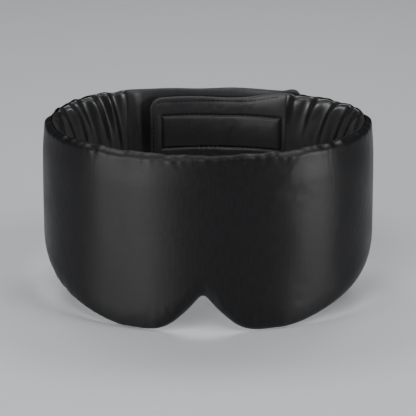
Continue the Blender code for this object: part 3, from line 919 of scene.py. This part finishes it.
def edgeThread(tab, name, node):
    along, inset, corner = tab["along"], tabs["edgeStitch"], tabs["corner"]
    centre = tab["tip"] - along * corner
    outline = np.concatenate([spaced([tab["root"] + along * 0.005, centre], 0.003), roundTip(tab)])
    low, high = tabEdges(tab, outline)
    lowEnd, highEnd = tabEdges(tab, np.array([centre]))

    def inwards(length, height, up):
        # moves a point of the outline towards the inside of the tab
        if along * (length - centre) <= 0:
            return length, height + up * inset
        middle = lowEnd[0] + corner if up > 0 else highEnd[0] - corner
        away = Vector((length - centre, height - middle))
        away *= (corner - inset) / max(away.length, 1e-6)
        return centre + away.x, middle + away.y

    run = [inwards(l, h, 1) for l, h in zip(outline, low)]
    run += [inwards(l, h, -1) for l, h in zip(outline[::-1], high[::-1])]
    surface = tab["middle"] + tab["way"] * stitch["edgeProud"]
    obj = sew(name, tab["track"], run, surface, tab["way"], False, stitch["pitch"], stitch["dip"])
    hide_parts(node)
    return obj


loopTapeThread = tapeThread(outerTab, "loopTapeThread", "loop_tape_thread")
hookTapeThread = tapeThread(innerTab, "hookTapeThread", "hook_tape_thread")
outerEdgeThread = edgeThread(outerTab, "outerTabEdgeThread", "outer_tab_edge_thread")
innerEdgeThread = edgeThread(innerTab, "innerTabEdgeThread", "inner_tab_edge_thread")
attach(loopTapeThread, "outer_tab")
for piece, tab in ((hookTapeThread, innerTab), (outerEdgeThread, outerTab), (innerEdgeThread, innerTab)):
    bendAtRoot(piece, tab)


def seamThread(name, node, body, track, run, middle, closed=False):
    obj = sew(name, track, run, middle, 1, closed, stitch["seamPitch"], stitch["seamDip"])
    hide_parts(node)
    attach(obj, body)
    return obj


def seamThreads():
    inset, rim = stitch["seamInset"], mask["rim"] - stitch["seamInset"]
    lengths = list(np.linspace(-mask["frontHalf"] + inset, mask["frontHalf"] - inset, 90))
    run = [(l, rim) for l in lengths] + [(l, float(frontBottom(np.array([l]))[0]) + inset) for l in lengths[::-1]]
    made = [seamThread("frontSeamThread", "front_seam_thread", "front", onLoop, run, flareOut, True)]
    for name, sign in ("left", -1), ("right", 1):
        place = sign * (mask["frontHalf"] + mask["seamChannel"] / 2)
        run = [(place, mask["sideRise"] + inset), (place, rim)]
        made.append(seamThread(name + "SideSeamThread", name + "_side_seam_thread", "front", onLoop, run, flareOut))
        run = [(sign * rootArc, mask["strapBottom"] + inset), (sign * rootArc, rim)]
        made.append(seamThread(name + "TabJoiningThread", name + "_tab_joining_thread", name + "_side", onArc, run,
                               side["tabShift"][name]))
    return made


seams = seamThreads()
print("threads made")


# Materials
def fromHex(code):
    parts = [int(code[i:i + 2], 16) / 255 for i in (1, 3, 5)]
    return (*[p / 12.92 if p <= 0.04045 else ((p + 0.055) / 1.055) ** 2.4 for p in parts], 1)


def addNode(tree, kind, values=None, links=None, out=0, **settings):
    node = tree.nodes.new(kind)
    for key, value in settings.items():
        setattr(node, key, value)
    for socket, value in (values or {}).items():
        node.inputs[socket].default_value = value
    for socket, source in (links or {}).items():
        tree.links.new(source, node.inputs[socket])
    return node.outputs[out]


def startMaterial(name, look):
    material = bpy.data.materials.new(name)
    material.use_nodes = True
    tree = material.node_tree
    shader = tree.nodes["Principled BSDF"]
    for socket, value in look.items():
        if socket in shader.inputs:
            shader.inputs[socket].default_value = value
    return material, tree, shader


def feed(tree, shader, sockets):
    for name, source in sockets.items():
        tree.links.new(source, shader.inputs[name])


def mottled(tree, look, amount, low, high):
    # the yarns differ a little, between the look's dark and light tones
    share = addNode(tree, "ShaderNodeMapRange", {"From Min": low, "From Max": high}, {"Value": amount})
    tones = {6: fromHex(look["dark"]), 7: fromHex(look["light"])}
    return addNode(tree, "ShaderNodeMix", tones, {0: share}, out=2, data_type="RGBA")


def satin(name, look):
    # polyester satin, woven with long floats and lightly calendered: a soft, wide sheen and a fine slanted twill
    material, tree, shader = startMaterial(name, look)
    uv = addNode(tree, "ShaderNodeUVMap", uv_map="UVMap")
    twill = addNode(tree, "ShaderNodeMapping", {"Rotation": (0, 0, math.radians(62))}, {"Vector": uv})
    # real floats are 0.2 mm apart; drawn at 0.8 mm so that they show
    wave = {"Scale": 0.314 / look["floats"], "Distortion": 1.4, "Detail": 2.0, "Detail Scale": 2.0}
    floats = addNode(tree, "ShaderNodeTexWave", wave, {"Vector": twill}, out="Fac")
    slub = addNode(tree, "ShaderNodeMapping", {"Scale": (1 / 0.0011, 1 / 0.0060, 1)}, {"Vector": uv})
    yarns = addNode(tree, "ShaderNodeTexNoise", {"Scale": 1.0, "Detail": 3.0, "Roughness": 0.6}, {"Vector": slub})
    fine = addNode(tree, "ShaderNodeTexNoise", {"Scale": 1 / 0.0009, "Detail": 2.0}, {"Vector": uv})
    wide = addNode(tree, "ShaderNodeTexNoise", {"Scale": 1 / 0.028, "Detail": 3.0}, {"Vector": uv})
    middle = {"From Min": 0.3, "From Max": 0.7}
    rubbed = {**middle, "To Min": look["rough"] - 0.05, "To Max": look["rough"] + 0.05}
    patches = addNode(tree, "ShaderNodeMapRange", rubbed, {"Value": wide})
    specks = addNode(tree, "ShaderNodeMapRange", {**middle, "To Min": -0.05, "To Max": 0.05}, {"Value": fine})
    rough = addNode(tree, "ShaderNodeMath", {}, {0: specks, 1: patches}, operation="ADD")
    height = addNode(tree, "ShaderNodeMath", {1: 0.45}, {0: floats, 2: fine}, operation="MULTIPLY_ADD")
    weave = addNode(tree, "ShaderNodeBump", {"Strength": look["weave"], "Distance": 0.00006}, {"Height": height})
    # faint rumples, a few centimetres across, as in any filled satin
    rumple = addNode(tree, "ShaderNodeBump", {"Strength": look["rumple"], "Distance": 0.0012},
                     {"Height": wide, "Normal": weave})
    # the sheen spreads along the weft
    weft = addNode(tree, "ShaderNodeTangent", direction_type="UV_MAP", uv_map="UVMap")
    colour = mottled(tree, look, yarns, 0.3, 0.7)
    feed(tree, shader, {"Base Color": colour, "Roughness": rough, "Tangent": weft, "Normal": rumple})
    return material


def porous(name, look):
    # cut foam, pressed felt or carded wadding: no gloss, an even open surface
    material, tree, shader = startMaterial(name, look)
    where = addNode(tree, "ShaderNodeTexCoord", out="Object")
    cells = addNode(tree, "ShaderNodeTexVoronoi", {"Scale": 1 / look["cell"]}, {"Vector": where})
    cloud = {"Scale": 1 / look["fuzz"], "Detail": 6.0, "Roughness": 0.7}
    fuzz = addNode(tree, "ShaderNodeTexNoise", cloud, {"Vector": where})
    rough = addNode(tree, "ShaderNodeMapRange", {"To Min": 0.85, "To Max": 1.0}, {"Value": fuzz})
    height = addNode(tree, "ShaderNodeMath", {}, {0: cells, 1: fuzz}, operation="ADD")
    bump = addNode(tree, "ShaderNodeBump", {"Strength": 0.8, "Distance": look["depth"]}, {"Height": height})
    feed(tree, shader, {"Base Color": mottled(tree, look, fuzz, 0.35, 0.65), "Roughness": rough, "Normal": bump})
    return material


def ribbed(name, look):
    # narrow weaving: rubber-cored ribs in the elastic, fine picks in the nylon tape
    material, tree, shader = startMaterial(name, look)
    uv = addNode(tree, "ShaderNodeUVMap", uv_map="UVMap")
    turned = addNode(tree, "ShaderNodeMapping", {"Rotation": (0, 0, math.radians(90))}, {"Vector": uv})
    ribWave = {"Scale": 0.314 / look["rib"], "Distortion": 0.3}
    ribs = addNode(tree, "ShaderNodeTexWave", ribWave, {"Vector": turned}, out="Fac")
    pickWave = {"Scale": 0.314 / look["pick"], "Distortion": 0.6, "Detail": 1.0}
    picks = addNode(tree, "ShaderNodeTexWave", pickWave, {"Vector": uv}, out="Fac")
    both = addNode(tree, "ShaderNodeMath", {1: 0.5}, {0: picks, 2: ribs}, operation="MULTIPLY_ADD")
    span = {"To Min": look["rough"] - 0.08, "To Max": look["rough"] + 0.08}
    rough = addNode(tree, "ShaderNodeMapRange", span, {"Value": picks})
    bump = addNode(tree, "ShaderNodeBump", {"Strength": 0.7, "Distance": 0.00015}, {"Height": both})
    feed(tree, shader, {"Base Color": mottled(tree, look, both, 0, 1.5), "Roughness": rough, "Normal": bump})
    return material


def filament(name, look):
    # drawn nylon or spun polyester: small glossy strands, twisted in the sewing thread
    material, tree, shader = startMaterial(name, look)
    where = addNode(tree, "ShaderNodeTexCoord", out="Object")
    spread = addNode(tree, "ShaderNodeTexNoise", {"Scale": 1 / look["twist"], "Detail": 2.0}, {"Vector": where})
    span = {"To Min": look["rough"] - 0.08, "To Max": look["rough"] + 0.08}
    rough = addNode(tree, "ShaderNodeMapRange", span, {"Value": spread})
    bump = addNode(tree, "ShaderNodeBump", {"Strength": 0.5, "Distance": 0.0001}, {"Height": spread})
    feed(tree, shader, {"Base Color": mottled(tree, look, spread, 0.35, 0.65), "Roughness": rough, "Normal": bump})
    return material


allSatin = {"floats": 0.0008, "Anisotropic Rotation": 0.25, "IOR": 1.45, "Sheen Roughness": 0.4,
            "Sheen Tint": fromHex("#b9b9c2")}
shellSatin = satin("polyesterSatin", {
    **allSatin, "dark": "#0b0b0c", "light": "#131314", "rough": 0.40, "weave": 0.35, "rumple": 0.10,
    "Anisotropic": 0.8, "Specular IOR Level": 0.22, "Sheen Weight": 0.02,
})
liningSatin = satin("liningSatin", {
    **allSatin, "dark": "#101011", "light": "#19191a", "rough": 0.38, "weave": 0.30, "rumple": 0.12,
    "Anisotropic": 0.45, "Specular IOR Level": 0.62, "Sheen Weight": 0.06,
})
# the lining's satin again, with lighter tones: painted light, so that the tabs' inner plies read brighter than the
# lining
tabSatin = satin("paintedLighterTabSatin", {
    **allSatin, "dark": "#1d1d1e", "light": "#272729", "rough": 0.46, "weave": 0.30, "rumple": 0.10,
    "Anisotropic": 0.3, "Specular IOR Level": 0.5, "Sheen Weight": 0.05,
})
foamLook = porous("polyurethaneFoam", {
    "dark": "#3a3a3c", "light": "#48484b", "cell": 0.0012, "fuzz": 0.004, "depth": 0.0005})
feltLook = porous("needledFelt", {
    "dark": "#0b0b0b", "light": "#151515", "cell": 0.0008, "fuzz": 0.0015, "depth": 0.0002})
waddingLook = porous("polyesterWadding", {
    "dark": "#bcbcb8", "light": "#d8d8d4", "cell": 0.006, "fuzz": 0.003, "depth": 0.0009, "Sheen Weight": 0.3})
elasticLook = ribbed("wovenElastic", {
    "dark": "#131314", "light": "#2b2b2d", "rib": 0.0010, "pick": 0.0006, "rough": 0.72})
tapeLook = ribbed("nylonTape", {
    "dark": "#0e0e0f", "light": "#1d1d1e", "rib": 0.0012, "pick": 0.0007, "rough": 0.6})
hookLook = filament("nylonHooks", {"dark": "#161617", "light": "#242426", "twist": 0.002, "rough": 0.38})
threadLook = filament("polyesterThread", {
    "dark": "#0a0a0b", "light": "#141415", "twist": 0.0005, "rough": 0.8, "Specular IOR Level": 0.15})

for pieces, material in (
    ((frontCover, leftCover, rightCover, outerTabOuter, innerTabOuter), shellSatin),
    ((frontLining, leftLining, rightLining), liningSatin), ((outerTabInner, innerTabInner), tabSatin),
    ((foamPad,), foamLook), ((blackoutFelt,), feltLook),
    ((leftWadding, rightWadding, outerTabWadding, innerTabWadding), waddingLook),
    ((leftTopElastic, leftBottomElastic, rightTopElastic, rightBottomElastic), elasticLook),
    ((hookTape, loopTape), tapeLook), ((hooks, loopPile), hookLook),
    ((loopTapeThread, hookTapeThread, outerEdgeThread, innerEdgeThread, *seams), threadLook),
):
    for piece in pieces:
        piece.data.materials.clear()
        piece.data.materials.append(material)
print("materials made")

# Stage: pale paper, low upright soft boxes at the front, and a high one that looks into the mask
lights = {
    "left": {"turn": -50, "height": 0.20, "distance": 1.1, "size": (0.80, 0.38), "power": 13},
    "leftSoft": {"turn": -28, "height": 0.20, "distance": 1.15, "size": (0.50, 0.38), "power": 4.0},
    "right": {"turn": 62, "height": 0.20, "distance": 1.1, "size": (0.55, 0.38), "power": 11},
    "high": {"turn": -16, "height": 1.15, "distance": 0.85, "size": (0.55, 0.45), "power": 6.5},
    "highRight": {"turn": 48, "height": 1.15, "distance": 0.85, "size": (0.40, 0.45), "power": 4.5},
    "backHigh": {"turn": 178, "height": 1.25, "distance": 0.75, "size": (1.0, 0.4), "power": 6},
    "backLeft": {"turn": -142, "height": 1.30, "distance": 0.75, "size": (0.5, 0.4), "power": 4},
    "backRight": {"turn": 142, "height": 1.30, "distance": 0.75, "size": (0.5, 0.4), "power": 4},
}


def addLight(name, s):
    light = bpy.data.lights.new(name, "AREA")
    light.shape, light.size, light.size_y, light.energy = "RECTANGLE", *s["size"], s["power"]
    holder = addObject(name, light)
    turn = math.radians(s["turn"])
    place = Vector((math.sin(turn) * s["distance"], -math.cos(turn) * s["distance"], s["height"]))
    holder.location = place
    holder.rotation_euler = (Vector((0, 0, 0.06)) - place).to_track_quat("-Z", "Y").to_euler()
    holder.visible_camera = False


def addStage():
    for name, settings in lights.items():
        addLight(name, settings)
    shape = bmesh.new()
    bmesh.ops.create_grid(shape, x_segments=1, y_segments=1, size=4)
    bmesh.ops.translate(shape, verts=shape.verts, vec=(0, 0, -0.0004))
    floor = addObject("floor", takeShape(shape, "floor"))
    material, tree, shader = startMaterial("backgroundPaper", {"Roughness": 0.9, "Specular IOR Level": 0.2})
    shader.inputs["Base Color"].default_value = fromHex("#b9babd")
    floor.data.materials.append(material)
    world = bpy.data.worlds.new("studio")
    world.use_nodes = True
    world.node_tree.nodes["Background"].inputs["Color"].default_value = fromHex("#b8babd")
    world.node_tree.nodes["Background"].inputs["Strength"].default_value = 0.06
    scene.world = world


addStage()
